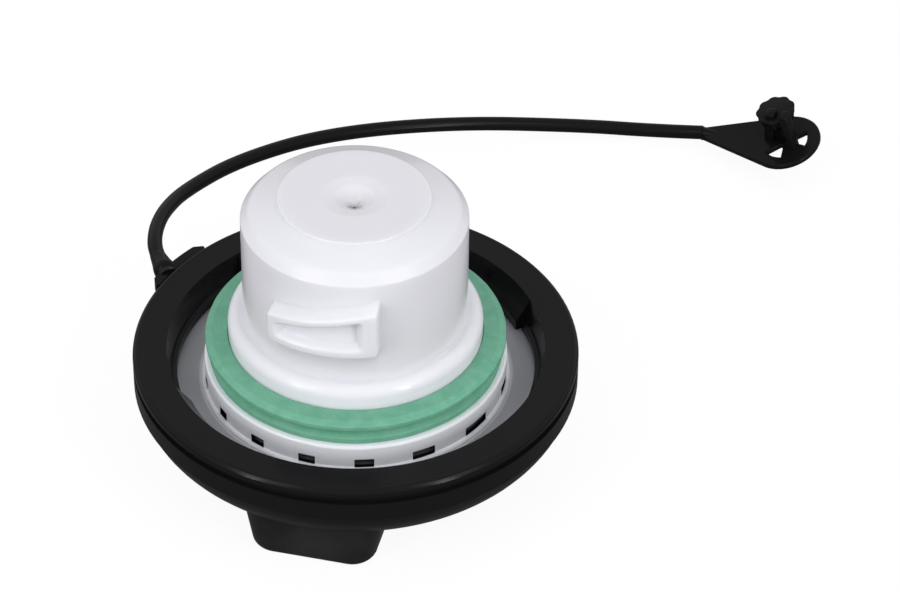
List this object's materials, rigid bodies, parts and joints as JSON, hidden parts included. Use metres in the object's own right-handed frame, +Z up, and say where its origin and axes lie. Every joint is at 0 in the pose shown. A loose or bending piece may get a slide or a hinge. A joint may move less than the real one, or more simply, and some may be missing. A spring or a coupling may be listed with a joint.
{
  "type": "fuel filler cap",
  "caption": "Round vehicle fuel filler cap with a grip bar, a bayonet plug with a rubber seal, a sprung pressure and vacuum valve, a slipping drive ring and a swivelling tether.",
  "frame": {"origin": "on the cap's axis, at the flat foot of the grip bar that the cap stands on", "axes": "+Z up the cap's axis from the grip to the plug's nose, Y along the grip bar, the tether leaves at the -X side"},
  "size_m": [0.1293, 0.1623, 0.0618],
  "materials": {
    "cover_black": "moulded, satin",
    "ring_black": "moulded, satin",
    "tether_black": "flexible, satin",
    "closure_white": "gloss",
    "drive_plastic": "natural, satin",
    "seal_green": "satin, mottled",
    "valve_plastic": "natural, satin",
    "gasket_rubber": "matt",
    "spring_steel": "drawn wire and strip"
  },
  "bodies": {
    "cover": {"cover_grip": "cover_black", "retaining_ring": "ring_black", "drive_ring": "drive_plastic"},
    "closure": {"carrier_ring": "closure_white", "plug_body": "closure_white", "seal_ring": "seal_green", "valve_body": "valve_plastic", "valve_o_ring": "gasket_rubber", "spring_retainer": "valve_plastic", "pressure_spring": "spring_steel"},
    "tether": {"tether_ring": "tether_black", "tether_strap": "tether_black", "tether_tab": "tether_black"},
    "pressure_valve": {"pressure_plate": "valve_plastic", "backing_washer": "spring_steel", "pressure_gasket": "gasket_rubber", "vacuum_spring": "spring_steel"},
    "vacuum_valve": {"vacuum_poppet": "valve_plastic", "stem_clip": "spring_steel"}
  },
  "joints": [
    {"name": "closure_turn", "type": "hinge", "parent": "cover", "child": "closure", "pos_m": [0, 0, 0.0175], "axis": [0, 0, 1], "continuous": true},
    {"name": "tether_swivel", "type": "hinge", "parent": "cover", "child": "tether", "pos_m": [0, 0, 0.023], "axis": [0, 0, 1], "continuous": true},
    {"name": "pressure_valve_slide", "type": "slide", "parent": "closure", "child": "pressure_valve", "axis": [0, 0, -1], "range_m": [0, 0.0025], "stiffness_N_per_m": 300, "springref_m": -0.008, "deforming": ["pressure_spring"]},
    {"name": "vacuum_valve_lift", "type": "slide", "parent": "pressure_valve", "child": "vacuum_valve", "axis": [0, 0, 1], "range_m": [0, 0.0015], "stiffness_N_per_m": 60, "springref_m": -0.004, "deforming": ["vacuum_spring"]}
  ]
}
